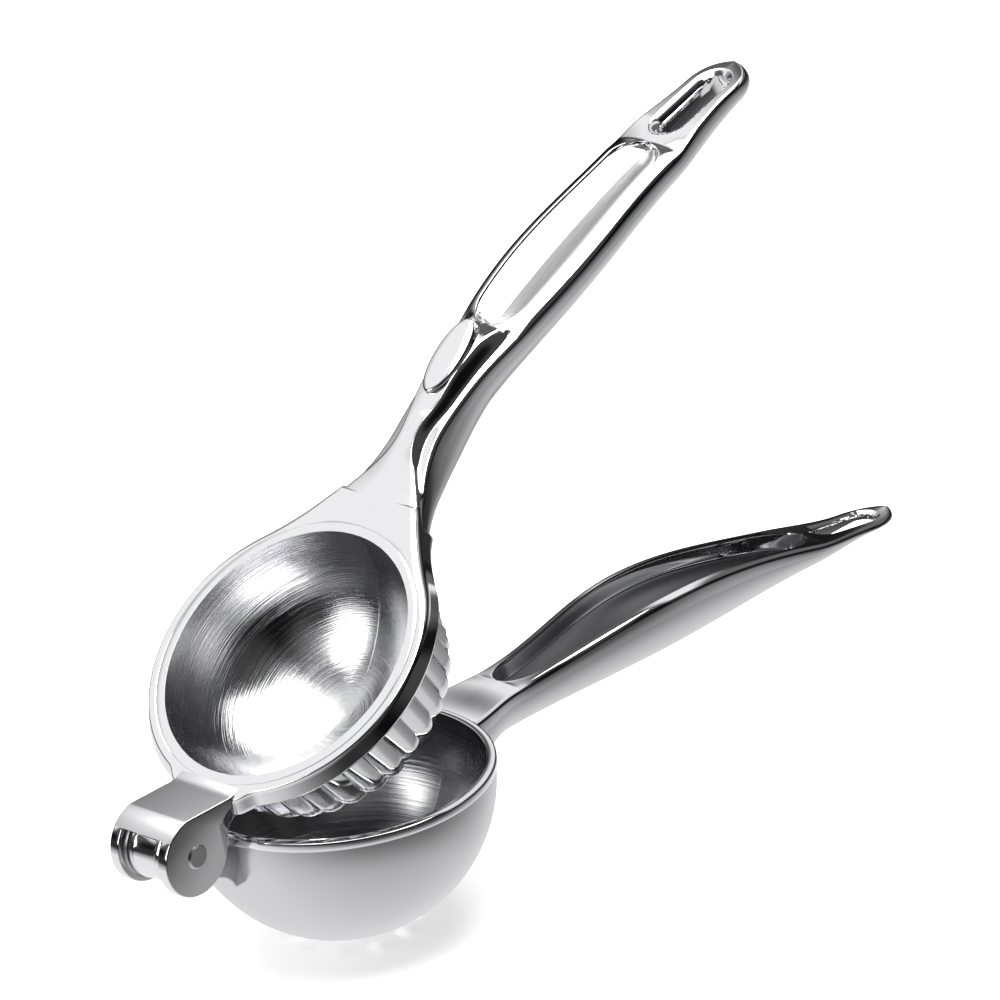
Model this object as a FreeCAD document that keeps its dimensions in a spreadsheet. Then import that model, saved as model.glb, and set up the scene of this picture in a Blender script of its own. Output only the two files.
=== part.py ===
import FreeCAD, Part
import os
import math
import Sketcher

# Hinged lemon squeezer: a lower arm with a round cup, an upper arm with a ring,
# a fluted press dome seated in the ring, and one hinge pin through both arms.
# The frame's origin is the centre of the cup's rim, X runs along the lower handle,
# Y along the hinge pin and Z up out of the cup. The upper arm is drawn closed,
# flat on the rim, and every piece that rides on it is turned open about the pin.

doc = FreeCAD.newDocument("LemonSqueezer")
sheet = doc.addObject("Spreadsheet::Sheet", "sizes")

# Driving sizes in millimetres and degrees
SIZES = [
    ("bowl_radius", 33.0, "radius of the press bowl's mouth"),
    ("peel_gap", 3.3, "gap for the peel between the bowl's mouth and the cup's inside"),
    ("cup_wall", 1.9, "wall of the cup"),
    ("cup_centre_drop", 2.0, "depth of the cup's centre below its rim"),
    ("rim_lip", 0.4, "how far the rim bead stands out of the cup"),
    ("rim_height", 2.4, "height of the rim bead"),
    ("drain_radius", 2.2, "radius of a drain hole"),
    ("drain_inner_ring", 7.0, "pitch radius of the inner drain holes"),
    ("drain_outer_ring", 14.5, "pitch radius of the outer drain holes"),
    ("pin_gap", 15.9, "distance of the hinge pin behind the cup's outside"),
    ("pin_rise", 3.1, "height of the hinge pin above the rim"),
    ("pin_radius", 3.0, "radius of the hinge pin"),
    ("pin_clearance", 0.05, "running clearance round the pin"),
    ("pin_head", 0.5, "how far the peened end stands out of an ear"),
    ("ear_radius", 9.9, "outside radius of a hinge ear"),
    ("ear_thickness", 3.0, "thickness of a hinge ear"),
    ("hinge_half", 9.5, "half of the width over both ears"),
    ("washer_thickness", 0.8, "thickness of a hinge washer"),
    ("washer_radius", 8.5, "outside radius of a hinge washer"),
    ("side_gap", 0.1, "gap at each side of a washer"),
    ("hood_gap", 0.4, "gap between the knuckle and the hood over it"),
    ("hood_reach", 2.3, "how far the hood reaches behind the pin"),
    ("barrel_radius", 8.2, "outside radius of the lower arm's knuckle"),
    ("lug_height", 8.6, "height of the web where it meets the cup"),
    ("ring_width", 4.7, "width from the bowl's mouth to the ring's outside"),
    ("ring_flare", 1.7, "how far the ring widens to its underside"),
    ("ring_top", 2.74, "height of the ring's top above the rim when closed"),
    ("ring_depth", 4.0, "height of the ring"),
    ("lip_width", 0.6, "how far the bowl's lip stands out of its collar"),
    ("collar_width", 0.3, "how far the bowl's collar stands out of the flutes"),
    ("lip_height", 1.2, "height of the bowl's lip"),
    ("seat_gap", 0.02, "gap round the bowl in the ring"),
    ("bowl_depth", 28.5, "depth of the press bowl"),
    ("flute_wall", 0.2, "thinnest wall between the bowl's mouth and a cusp"),
    ("dome_taper", 1.3, "how far the fluted wall tapers in"),
    ("dome_step_depth", 14.5, "height of the fluted wall"),
    ("dome_depth", 31.0, "depth of the dome below the rim when closed"),
    ("flute_count", 32, "number of flutes"),
    ("flute_depth", 1.3, "depth of the cusp between two flutes"),
    ("open_angle", 36.6, "opening of the upper arm at rest, in degrees"),
    ("low_reach", 196.8, "distance of the lower handle's tip from the cup's centre"),
    ("low_neck_half", 8.0, "half width of the lower handle's neck"),
    ("low_palm_half", 12.0, "half width of the lower handle's palm"),
    ("low_grip_half", 9.7, "half width of the lower handle behind its palm"),
    ("low_end_half", 6.6, "half width of the lower handle near its tip"),
    ("low_crown", 5.0, "height of the lower handle's crown above the rim"),
    ("low_tip_drop", 7.9, "drop of the lower handle's tip below the rim"),
    ("low_belly", 11.2, "depth of the lower handle's underside below the rim"),
    ("low_rail", 2.3, "width of the lower handle's rails"),
    ("low_recess", 4.6, "depth of the lower handle's recess"),
    ("low_recess_start", 56.0, "start of the lower handle's recess"),
    ("low_recess_end", 165.0, "end of the lower handle's recess"),
    ("low_hole_start", 169.5, "start of the lower hanging hole"),
    ("low_hole_end", 191.0, "end of the lower hanging hole"),
    ("hole_half", 3.2, "half width of a hanging hole"),
    ("up_reach", 189.0, "distance of the upper handle's tip from the ring's centre"),
    ("up_neck_half", 7.2, "half width of the upper handle's neck"),
    ("up_palm_half", 12.4, "half width of the upper handle's palm"),
    ("up_grip_half", 10.8, "half width of the upper handle behind its palm"),
    ("up_end_half", 7.8, "half width of the upper handle near its tip"),
    ("up_neck_crown", 3.6, "how far the neck's top is crowned"),
    ("up_neck_top", 3.3, "height of the upper handle's neck when closed"),
    ("up_tip_drop", 26.5, "drop of the upper handle's tip when closed"),
    ("up_thick", 12.4, "thickness of the upper handle at its palm"),
    ("up_tip_thick", 6.5, "thickness of the upper handle at its tip"),
    ("up_rail", 3.4, "width of the upper handle's rails with their bevel"),
    ("up_channel_side", 0.9, "height of the channel's side wall"),
    ("up_channel_depth", 2.9, "depth of the channel at its centre crease"),
    ("up_channel_start", 93.6, "start of the upper handle's channel"),
    ("up_channel_end", 157.0, "end of the upper handle's channel"),
    ("up_hole_start", 162.5, "start of the upper hanging hole"),
    ("up_hole_end", 183.5, "end of the upper hanging hole"),
    ("bevel", 1.1, "bevel of the handles' top edges"),
    ("inlay_thickness", 0.8, "thickness of the inlay strip"),
    ("inlay_gap", 0.15, "gap round the inlay strip"),
    ("badge_place", 81.5, "distance of the oval badge from the ring's centre"),
    ("badge_half_length", 10.5, "half length of the oval badge"),
    ("badge_half_width", 4.4, "half width of the oval badge"),
    ("badge_height", 1.3, "height of the oval badge above the crown"),
    ("badge_sink", 3.2, "depth of the badge's seat in the handle"),
]
for row, (alias, value, note) in enumerate(SIZES, start=1):
    sheet.set("A%d" % row, alias)
    sheet.set("B%d" % row, str(value))
    sheet.set("C%d" % row, note)
    sheet.setAlias("B%d" % row, alias)
doc.recompute()


def size(alias):
    return float(sheet.get(alias))


def vec(x, y, z):
    return FreeCAD.Vector(x, y, z)


def bind(obj, **expressions):
    for prop, text in expressions.items():
        obj.setExpression(prop.replace("__", "."), text)
    return obj


def cylinder(name, radius, height, x="0", y="0", z="0", axis=None):
    obj = doc.addObject("Part::Cylinder", name)
    if axis == "Y":
        obj.Placement.Rotation = FreeCAD.Rotation(vec(1, 0, 0), -90)
    return bind(obj, Radius=radius, Height=height, Placement__Base__x=x,
                Placement__Base__y=y, Placement__Base__z=z)


def box(name, length, width, height, x, y, z):
    obj = doc.addObject("Part::Box", name)
    return bind(obj, Length=length, Width=width, Height=height, Placement__Base__x=x,
                Placement__Base__y=y, Placement__Base__z=z)


def fuse(name, shapes):
    obj = doc.addObject("Part::MultiFuse", name)
    obj.Shapes = shapes
    return obj


def cut(name, base, tool):
    obj = doc.addObject("Part::Cut", name)
    obj.Base = base
    obj.Tool = tool
    return obj


def wire(name, edges):
    obj = doc.addObject("Part::Feature", name)
    obj.Shape = Part.Wire(edges)
    return obj


def loft(name, wires, ruled=False):
    obj = doc.addObject("Part::Loft", name)
    obj.Sections = wires
    obj.Solid = True
    obj.Ruled = ruled
    return obj


# Revolved sketches: points are radius and height pairs named by sheet expressions
def turned_body(name, points, arcs=()):
    body = doc.addObject("PartDesign::Body", name)
    plane = [f for f in body.Origin.OriginFeatures if f.Role == "XZ_Plane"][0]
    sketch = body.newObject("Sketcher::SketchObject", name + "_profile")
    sketch.AttachmentSupport = [(plane, "")]
    sketch.MapMode = "FlatFace"
    ev = [(sheet_value(r), sheet_value(h)) for r, h in points]
    count = len(points)
    for i in range(count):
        a, b = ev[i], ev[(i + 1) % count]
        if i in dict(arcs):
            mid = dict(arcs)[i](a, b)
            sketch.addGeometry(Part.Arc(vec(a[0], a[1], 0), vec(mid[0], mid[1], 0),
                                        vec(b[0], b[1], 0)), False)
        else:
            sketch.addGeometry(Part.LineSegment(vec(a[0], a[1], 0), vec(b[0], b[1], 0)), False)
    revolve = body.newObject("PartDesign::Revolution", name + "_turn")
    revolve.Profile = sketch
    revolve.ReferenceAxis = (sketch, ["V_Axis"])
    revolve.Angle = 360
    return body


# Radii and places that follow from the press bowl's mouth
cup_in = size("bowl_radius") + size("peel_gap")
cup_r = cup_in + size("cup_wall")
pin_back = cup_r + size("pin_gap")
ring_out = size("bowl_radius") + size("ring_width")
dome_r = size("bowl_radius") + size("flute_wall") + size("flute_depth")
body_out = dome_r + size("collar_width")
bowl_out = body_out + size("lip_width")
PIN_BACK = "(sizes.bowl_radius + sizes.peel_gap + sizes.cup_wall + sizes.pin_gap)"


def sheet_value(term):
    return term if isinstance(term, (int, float)) else size(term)


# Cup: a round shell with a rim bead, open at the top
cup_z = -size("cup_centre_drop")
rim_out = math.sqrt(cup_r ** 2 - cup_z ** 2) + size("rim_lip")
bead_low = -size("rim_height")
bead_at = math.sqrt(cup_r ** 2 - (bead_low - cup_z) ** 2)
rim_in = math.sqrt(cup_in ** 2 - cup_z ** 2)


def ball_mid(radius):
    def mid(a, b):
        dx, dz = a[0] + b[0], (a[1] - cup_z) + (b[1] - cup_z)
        scale = radius / math.hypot(dx, dz)
        return dx * scale, cup_z + dz * scale
    return mid


cup = turned_body("cup_shell", [
    (0.0, cup_z - cup_r), (bead_at, bead_low), (rim_out, bead_low + size("rim_lip")),
    (rim_out, -0.3), (rim_out - 0.3, 0.0), (rim_in, 0.0), (0.0, cup_z - cup_in)],
    [(0, ball_mid(cup_r)), (5, ball_mid(cup_in))])

# Space inside the cup, cut out of everything that joins it from outside
cup_hollow = turned_body("cup_hollow", [
    (0.0, cup_z - cup_in), (rim_in, 0.0), (rim_in, 8.0), (0.0, 8.0)],
    [(0, ball_mid(cup_in))])


# Handle sections: a flat bevelled top and a rounded underside, one plane per station
def handle_section(name, x, top, half, low, bevel, crown=0.05):
    side = [vec(x, half, top - bevel), vec(x, half * 0.97, top - bevel - (top - bevel - low) * 0.42),
            vec(x, half * 0.66, low + (top - low) * 0.10), vec(x, 0, low)]
    other = [vec(p.x, -p.y, p.z) for p in reversed(side[:-1])]
    curve = Part.BSplineCurve()
    curve.interpolate(side + other)
    inner = half - bevel
    left, right = vec(x, -inner, top), vec(x, inner, top)
    face = Part.BSplineCurve()
    face.interpolate([left, vec(x, -inner * 0.6, top + crown * 0.62), vec(x, 0, top + crown),
                      vec(x, inner * 0.6, top + crown * 0.62), right])
    return wire(name, [face.toShape(), Part.makeLine(right, side[0]),
                       curve.toShape(), Part.makeLine(other[-1], left)])


def open_section(name, x, top, half, side_low, mid_low):
    points = [vec(x, -half, top + 6), vec(x, half, top + 6), vec(x, half, side_low),
              vec(x, 0, mid_low), vec(x, -half, side_low)]
    return wire(name, Part.makePolygon(points + [points[0]]).Edges)


# Smooth value between named stations
def between(x, stations):
    for (x0, v0), (x1, v1) in zip(stations, stations[1:]):
        if x <= x1:
            s = max(0.0, (x - x0) / (x1 - x0))
            return v0 + (v1 - v0) * (1 - math.cos(math.pi * s)) / 2
    return stations[-1][1]


# Half width of a handle whose tip is rounded in plan
def rounded(x, stations, end_at, tip):
    if x <= end_at:
        return between(x, stations)
    share = min(1.0, (x - end_at) / (tip - end_at))
    return max(1.3, stations[-1][1] * math.sqrt(1 - share ** 2))


# Lower handle
reach = size("low_reach")
palm_at = cup_r + (reach - cup_r) * 0.455
neck_at = cup_r + (reach - cup_r) * 0.13
grip_at = cup_r + (reach - cup_r) * 0.77
end_at = reach - 12.0
lh = size("low_neck_half")
lp = size("low_palm_half")
le = size("low_end_half")
low_half = [(rim_in - 3, lh + 3.0), (neck_at, lh), (palm_at, lp),
            (grip_at, size("low_grip_half")), (end_at, le)]
low_top = [(rim_in, -0.2), (neck_at - 4, 0.6), (palm_at - 3, size("low_crown")),
           (reach + 6, -size("low_tip_drop") - 0.8)]
belly = -size("low_belly")
low_under = [(rim_in - 3, belly - 6.5), (neck_at - 6, belly), (palm_at, belly - 0.6),
             (end_at, belly + 0.9), (reach, belly + 0.6)]
low_sections = []
tip_from = (end_at - rim_in + 3) / (reach - rim_in + 3)
for i, share in enumerate([0.0, 0.05, 0.13, 0.28, 0.455, 0.62, 0.77, 0.86, tip_from,
                           tip_from + (1 - tip_from) * 0.5, tip_from + (1 - tip_from) * 0.85, 1.0]):
    x = (rim_in - 3) + (reach - rim_in + 3) * share
    wide = rounded(x, low_half, end_at, reach)
    low_sections.append(handle_section("low_station_%d" % i, x, between(x, low_top), wide,
                                       between(x, low_under), min(size("bevel"), wide * 0.3)))
low_handle = loft("low_handle", low_sections)

rec_a, rec_b = size("low_recess_start"), size("low_recess_end")
rec_sections = []
for i, (share, narrow) in enumerate([(0, 0.45), (0.03, 0.9), (0.25, 1), (0.5, 1), (0.75, 1),
                                     (0.965, 0.9), (1, 0.45)]):
    x = rec_a + (rec_b - rec_a) * share
    top = between(x, low_top)
    rec_sections.append(open_section("low_recess_%d" % i, x, top,
                                     (between(x, low_half) - size("low_rail")) * narrow,
                                     top - size("low_recess"), top - size("low_recess") - 0.2))
low_recess = loft("low_recess", rec_sections, ruled=True)


def slot(name, start, end, half, low, height):
    parts = [cylinder(name + "_a", half, height, start + " + " + half, "0", low),
             cylinder(name + "_b", half, height, end + " - " + half, "0", low),
             box(name + "_c", end + " - " + start + " - 2 * " + half, "2 * " + half, height,
                 start + " + " + half, "-" + half, low)]
    return fuse(name, parts)


low_slot = slot("low_slot", "sizes.low_hole_start", "sizes.low_hole_end", "sizes.hole_half",
                "-40", "60")

# Lower knuckle and the web that joins it to the cup
knuckle_half = "(sizes.hinge_half - sizes.ear_thickness - sizes.washer_thickness - 2 * sizes.side_gap)"
barrel = cylinder("barrel", "sizes.barrel_radius", "2 * " + knuckle_half, "-" + PIN_BACK,
                  "-" + knuckle_half, "sizes.pin_rise", "Y")
lug_top = -0.9
lug_back, lug_front = -pin_back, -cup_r + 2.2
lug_low = size("pin_rise") - size("barrel_radius") + 0.15
lug_root = lug_top - size("lug_height") - 2.0
lug_edges = Part.makePolygon([
    vec(lug_back + 0.6, 0, lug_low), vec(lug_back, 0, lug_top),
    vec(lug_front, 0, lug_top), vec(lug_front, 0, lug_root)]).Edges
sweep_in = Part.BSplineCurve()
sweep_in.interpolate([vec(lug_front, 0, lug_root), vec(-cup_r + 0.4, 0, lug_root + 1.6),
                      vec((lug_back + lug_front) / 2 + 1.5, 0, lug_low - 1.2),
                      vec(lug_back + 0.6, 0, lug_low)])
lug_face = doc.addObject("Part::Feature", "lug_outline")
lug_face.Shape = Part.Face(Part.Wire(lug_edges + [sweep_in.toShape()]))
lug = doc.addObject("Part::Extrusion", "lug")
lug.Base = lug_face
lug.DirMode = "Custom"
lug.Dir = (0, 1, 0)
lug.Solid = True
bind(lug, LengthFwd="2 * " + knuckle_half, Placement__Base__y="-" + knuckle_half)
bore = cylinder("low_bore", "sizes.pin_radius + sizes.pin_clearance", "80", "-" + PIN_BACK,
                "-40", "sizes.pin_rise", "Y")

# Drain holes through the cup's bottom
drains = [cylinder("drain_centre", "sizes.drain_radius", "30", "0", "0", "-60")]
for ring_name, holes in (("drain_inner_ring", 5), ("drain_outer_ring", 10)):
    for i in range(int(holes)):
        a = 360.0 * i / int(holes)
        drains.append(cylinder("%s_%d" % (ring_name, i), "sizes.drain_radius", "30",
                               "sizes.%s * cos(%.3f deg)" % (ring_name, a),
                               "sizes.%s * sin(%.3f deg)" % (ring_name, a), "-60"))
drain_set = fuse("drain_set", drains)

low_outside = fuse("low_outside", [low_handle, barrel, lug])
low_outer = cut("low_outer", low_outside, cup_hollow)
low_joined = fuse("low_joined", [cup, low_outer])
low_holes = fuse("low_holes", [low_recess, low_slot, bore, drain_set])
lower_arm = cut("lower_arm", low_joined, low_holes)

# Upper ring with a seat for the press dome
ring_top = size("ring_top")
ring_low = ring_top - size("ring_depth")
seat = size("seat_gap")
ring = turned_body("ring", [
    (body_out + seat, ring_low), (ring_out + size("ring_flare"), ring_low),
    (ring_out + size("ring_flare"), ring_low + 0.8), (ring_out, ring_top - 0.3),
    (ring_out - 0.3, ring_top), (bowl_out + seat, ring_top),
    (bowl_out + seat, ring_top - size("lip_height")),
    (body_out + seat, ring_top - size("lip_height"))])
ring_hollow = turned_body("ring_hollow", [
    (0.0, ring_low - ring_out), (body_out + seat, ring_low - ring_out),
    (body_out + seat, ring_top - size("lip_height")),
    (bowl_out + seat, ring_top - size("lip_height")), (bowl_out + seat, ring_top + ring_out),
    (0.0, ring_top + ring_out)])

# Upper handle
up_reach = size("up_reach")
un, upm, ue = size("up_neck_half"), size("up_palm_half"), size("up_end_half")
up_grip_at = ring_out + (up_reach - ring_out) * 0.755
up_palm_at = ring_out + (up_reach - ring_out) * 0.53
up_neck_at = ring_out + (up_reach - ring_out) * 0.17
up_end_at = up_reach - 9.0
flare_from = ring_out * 0.70
up_half = [(flare_from, math.sqrt(ring_out ** 2 - flare_from ** 2)), (ring_out + 7, un + 3.0),
           (up_neck_at, un), (up_palm_at, upm), (up_grip_at, size("up_grip_half")), (up_end_at, ue)]
up_top = [(flare_from, ring_top), (up_neck_at, size("up_neck_top"))]
up_low = [(flare_from, ring_low), (ring_out + 2, ring_low - 1.0), (up_neck_at, -10.2),
          (up_neck_at + 20, size("up_neck_top") - size("up_thick") - 2.6)]


def up_top_at(x):
    if x <= up_neck_at:
        return between(x, up_top)
    s = (x - up_neck_at) / (up_reach - up_neck_at)
    return size("up_neck_top") - (size("up_neck_top") + size("up_tip_drop")) * s ** 1.75


def up_low_at(x):
    if x <= up_neck_at + 16:
        return between(x, up_low[:3] + [(up_neck_at + 16, up_top_at(up_neck_at + 16) - size("up_thick"))])
    s = (x - up_neck_at - 16) / (up_reach - up_neck_at - 16)
    return up_top_at(x) - size("up_thick") - (size("up_tip_thick") - size("up_thick")) * s ** 3


up_crown = [(ring_out - 1, 0.05), (up_neck_at - 2, size("up_neck_crown")),
            (size("badge_place") + 2, size("up_neck_crown")),
            (size("up_channel_start") + 5, 0.3), (up_end_at, 0.05)]
up_sections = []
for i, x in enumerate([flare_from, flare_from + 6, ring_out - 1, ring_out + 7, ring_out + 16,
                       up_neck_at + 6, size("badge_place"), up_neck_at + 30, up_palm_at - 8,
                       up_palm_at + 10, up_grip_at, up_end_at - 12, up_end_at,
                       up_end_at + 4.5, up_end_at + 7.6, up_reach]):
    wide = rounded(x, up_half, up_end_at, up_reach)
    up_sections.append(handle_section("up_station_%d" % i, x, up_top_at(x), wide, up_low_at(x),
                                      min(size("bevel"), wide * 0.3), between(x, up_crown)))
up_handle = loft("up_handle", up_sections)


def channel(name, start, end, inset, lift, floor):
    sections = []
    for i, (share, narrow) in enumerate([(0, 0.5), (0.05, 0.88), (0.14, 1), (0.4, 1), (0.65, 1),
                                         (0.86, 1), (0.95, 0.88), (1, 0.5)]):
        x = start + (end - start) * share
        top = up_top_at(x)
        half = (between(x, up_half) - size("up_rail")) * narrow - inset
        side = top - size("up_channel_side") + lift
        mid = top - size("up_channel_depth") + lift
        if floor is None:
            sections.append(open_section("%s_%d" % (name, i), x, top, half, side, mid))
        else:
            pts = [vec(x, -half, side), vec(x, 0, mid), vec(x, half, side),
                   vec(x, half, side - floor), vec(x, 0, mid - floor), vec(x, -half, side - floor)]
            sections.append(wire("%s_%d" % (name, i), Part.makePolygon(pts + [pts[0]]).Edges))
    return loft(name, sections, ruled=True)


up_channel = channel("up_channel", size("up_channel_start"), size("up_channel_end"), 0.0, 0.0, None)
up_slot = slot("up_slot", "sizes.up_hole_start", "sizes.up_hole_end", "sizes.hole_half",
               "-70", "90")

# Hinge ears and the webs that carry them on the ring
ears = []
ear_y = ["-sizes.hinge_half", "sizes.hinge_half - sizes.ear_thickness"]
px, pz, er = -pin_back, size("pin_rise"), size("ear_radius")
for i, y in enumerate(ear_y):
    ears.append(cylinder("ear_%d" % i, "sizes.ear_radius", "sizes.ear_thickness",
                         "-" + PIN_BACK, y, "sizes.pin_rise", "Y"))
    outline = [vec(px, 0, pz), vec(px + er * 0.45, 0, pz + er * 0.88),
               vec(-ring_out + 0.5, 0, ring_top), vec(-ring_out + 2.5, 0, ring_top),
               vec(-ring_out + 2.5, 0, ring_low + 0.4), vec(px + er * 1.1, 0, ring_low + 0.4),
               vec(px + er * 0.5, 0, pz - er * 0.82)]
    flat = Part.Face(Part.makePolygon(outline + [outline[0]]))
    web = doc.addObject("Part::Feature", "web_outline_%d" % i)
    web.Shape = flat
    wall = doc.addObject("Part::Extrusion", "web_%d" % i)
    wall.Base = web
    wall.Dir = (0, 1, 0)
    wall.DirMode = "Custom"
    bind(wall, LengthFwd="sizes.ear_thickness", Placement__Base__y=y)
    wall.Solid = True
    ears.append(wall)
hood_x = px - size("hood_reach")
hood_top = math.sqrt(er ** 2 - size("hood_reach") ** 2) - 0.1
hood_outline = [vec(hood_x, 0, pz), vec(hood_x, 0, pz + hood_top), vec(px, 0, pz + er - 0.05),
                vec(px + er * 0.45, 0, pz + er * 0.88), vec(-ring_out + 0.5, 0, ring_top),
                vec(-ring_out + 2.5, 0, ring_top), vec(-ring_out + 2.5, 0, ring_low + 0.4),
                vec(px + er * 1.1, 0, ring_low + 0.4), vec(px + er * 0.8, 0, pz)]
hood_face = doc.addObject("Part::Feature", "hood_outline")
hood_face.Shape = Part.Face(Part.makePolygon(hood_outline + [hood_outline[0]]))
hood_block = doc.addObject("Part::Extrusion", "hood_block")
hood_block.Base = hood_face
hood_block.Dir = (0, 1, 0)
hood_block.DirMode = "Custom"
hood_block.Solid = True
bind(hood_block, LengthFwd="2 * sizes.hinge_half - sizes.ear_thickness",
     Placement__Base__y="-sizes.hinge_half + sizes.ear_thickness / 2")
hood_space = cylinder("hood_space", "sizes.barrel_radius + sizes.hood_gap",
                      "2 * sizes.hinge_half - 2 * sizes.ear_thickness", "-" + PIN_BACK,
                      "-sizes.hinge_half + sizes.ear_thickness", "sizes.pin_rise", "Y")
hood = cut("hood", hood_block, hood_space)
ears.append(hood)
up_bore = cylinder("up_bore", "sizes.pin_radius", "80", "-" + PIN_BACK, "-40",
                   "sizes.pin_rise", "Y")

# Badge seat
badge_x = size("badge_place")


def oval(name, half_length, half_width, low, high):
    curve = Part.Ellipse(vec(badge_x, 0, low), half_length, half_width)
    face = Part.Face(Part.Wire([curve.toShape()]))
    obj = doc.addObject("Part::Feature", name + "_outline")
    obj.Shape = face
    solid = doc.addObject("Part::Extrusion", name)
    solid.Base = obj
    solid.DirMode = "Custom"
    solid.Dir = (0, 0, 1)
    solid.LengthFwd = high - low
    solid.Solid = True
    return solid


badge_crown = up_top_at(badge_x) + size("up_neck_crown")
badge_top = badge_crown + size("badge_height")
badge_low = badge_crown - size("badge_sink")
badge_seat = oval("badge_seat", size("badge_half_length"), size("badge_half_width"), badge_low,
                  badge_top + 20)

up_outside = fuse("up_outside", [up_handle] + ears)
up_outer = cut("up_outer", up_outside, ring_hollow)
up_joined = fuse("up_joined", [ring, up_outer])
up_holes = fuse("up_holes", [up_channel, up_slot, up_bore, badge_seat])
upper_arm = cut("upper_arm", up_joined, up_holes)

oval_badge = oval("oval_badge", size("badge_half_length"), size("badge_half_width"), badge_low,
                  badge_top)

# Inlay strip on the channel's floor
inlay_strip = channel("inlay_strip", size("up_channel_start") + 1.0, size("up_channel_end") - 1.0,
                      size("inlay_gap"), size("inlay_thickness"), size("inlay_thickness"))


# Press dome: a scalloped wall, an edge, a scalloped bottom and a smooth bowl inside
count = int(size("flute_count"))


def scalloped(name, crest, height, depth):
    edges = []
    step = 2 * math.pi / count
    for i in range(count):
        a0, a1, a2 = (i - 0.5) * step, i * step, (i + 0.5) * step
        low = crest - depth
        edges.append(Part.Arc(vec(low * math.cos(a0), low * math.sin(a0), height),
                              vec(crest * math.cos(a1), crest * math.sin(a1), height),
                              vec(low * math.cos(a2), low * math.sin(a2), height)).toShape())
    return wire(name, edges)


step_r, step_z = dome_r - size("dome_taper"), ring_low - size("dome_step_depth")
bottom_z = -size("dome_depth")
wall_loft = loft("dome_wall", [
    scalloped("dome_wall_top", dome_r, ring_low + 0.6, size("flute_depth")),
    scalloped("dome_wall_low", step_r, step_z, size("flute_depth"))], ruled=True)
round_sections = []
for i, share in enumerate([0.0, 0.25, 0.45, 0.65, 0.85, 0.97]):
    angle = share * math.pi / 2
    crest = (step_r - 0.8) * math.cos(angle)
    height = step_z - (step_z - bottom_z) * math.sin(angle)
    round_sections.append(scalloped("dome_round_%d" % i, crest, height,
                                    size("flute_depth") * (crest / step_r) ** 1.2))
round_loft = loft("dome_round", round_sections)
collar = turned_body("dome_collar", [
    (0.0, ring_low + 0.3), (body_out, ring_low + 0.3), (body_out, ring_top - size("lip_height")),
    (bowl_out, ring_top - size("lip_height")), (bowl_out, ring_top - 0.3),
    (bowl_out - 0.3, ring_top), (0.0, ring_top)])
bowl = doc.addObject("Part::Ellipsoid", "bowl_space")
bind(bowl, Radius1="sizes.bowl_depth", Radius2="sizes.bowl_radius", Radius3="sizes.bowl_radius",
     Placement__Base__z="sizes.ring_top")
press_body = fuse("press_body", [collar, wall_loft, round_loft])
press_dome = cut("press_dome", press_body, bowl)

# Hinge pin with peened ends, and the two washers
half = size("hinge_half") + size("pin_head")
pin_r = size("pin_radius")
hinge_pin = doc.addObject("PartDesign::Body", "hinge_pin")
plane = [f for f in hinge_pin.Origin.OriginFeatures if f.Role == "XY_Plane"][0]
sketch = hinge_pin.newObject("Sketcher::SketchObject", "pin_profile")
sketch.AttachmentSupport = [(plane, "")]
sketch.MapMode = "FlatFace"
pts = [vec(0, -half, 0), vec(pin_r - 0.5, -half, 0), vec(pin_r, -half + 0.5, 0),
       vec(pin_r, half - 0.5, 0), vec(pin_r - 0.5, half, 0), vec(0, half, 0)]
for a, b in zip(pts, pts[1:] + pts[:1]):
    sketch.addGeometry(Part.LineSegment(a, b), False)
turn = hinge_pin.newObject("PartDesign::Revolution", "pin_turn")
turn.Profile = sketch
turn.ReferenceAxis = (sketch, ["V_Axis"])
turn.Angle = 360

washers = []
for i, side in enumerate((-1, 1)):
    body = doc.addObject("PartDesign::Body", ["washer_near", "washer_far"][i])
    plane = [f for f in body.Origin.OriginFeatures if f.Role == "XZ_Plane"][0]
    sketch = body.newObject("Sketcher::SketchObject", "washer_profile_%d" % i)
    sketch.AttachmentSupport = [(plane, "")]
    sketch.MapMode = "FlatFace"
    for n, alias in enumerate(("sizes.washer_radius", "sizes.pin_radius + sizes.pin_clearance")):
        sketch.addGeometry(Part.Circle(vec(0, 0, 0), vec(0, 0, 1), 9.0 - 4 * n), False)
        sketch.addConstraint(Sketcher.Constraint("Coincident", n, 3, -1, 1))
        index = sketch.addConstraint(Sketcher.Constraint("Radius", n, 9.0 - 4 * n))
        sketch.setExpression("Constraints[%d]" % index, alias)
    pad = body.newObject("PartDesign::Pad", "washer_pad_%d" % i)
    pad.Profile = sketch
    pad.Midplane = True
    bind(pad, Length="sizes.washer_thickness")
    washers.append(body)
doc.recompute()

# Closed position to rest position: the upper arm's pieces turn about the pin
pin_centre = vec(-pin_back, 0, size("pin_rise"))
opened = FreeCAD.Placement(vec(0, 0, 0), FreeCAD.Rotation(vec(0, -1, 0), size("open_angle")),
                           pin_centre)
washer_y = size("hinge_half") - size("ear_thickness") - size("side_gap") - size("washer_thickness") / 2
for obj in (upper_arm, press_dome, oval_badge, inlay_strip):
    obj.Placement = opened
hinge_pin.Placement = FreeCAD.Placement(pin_centre, FreeCAD.Rotation())
washers[0].Placement = FreeCAD.Placement(pin_centre + vec(0, -washer_y, 0), FreeCAD.Rotation())
washers[1].Placement = FreeCAD.Placement(pin_centre + vec(0, washer_y, 0), FreeCAD.Rotation())

NODES = {"lower_arm": lower_arm, "upper_arm": upper_arm, "press_dome": press_dome,
         "inlay_strip": inlay_strip, "oval_badge": oval_badge, "hinge_pin": hinge_pin,
         "washer_near": washers[0], "washer_far": washers[1]}
for label, obj in NODES.items():
    obj.Label = label
doc.recompute()

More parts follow.
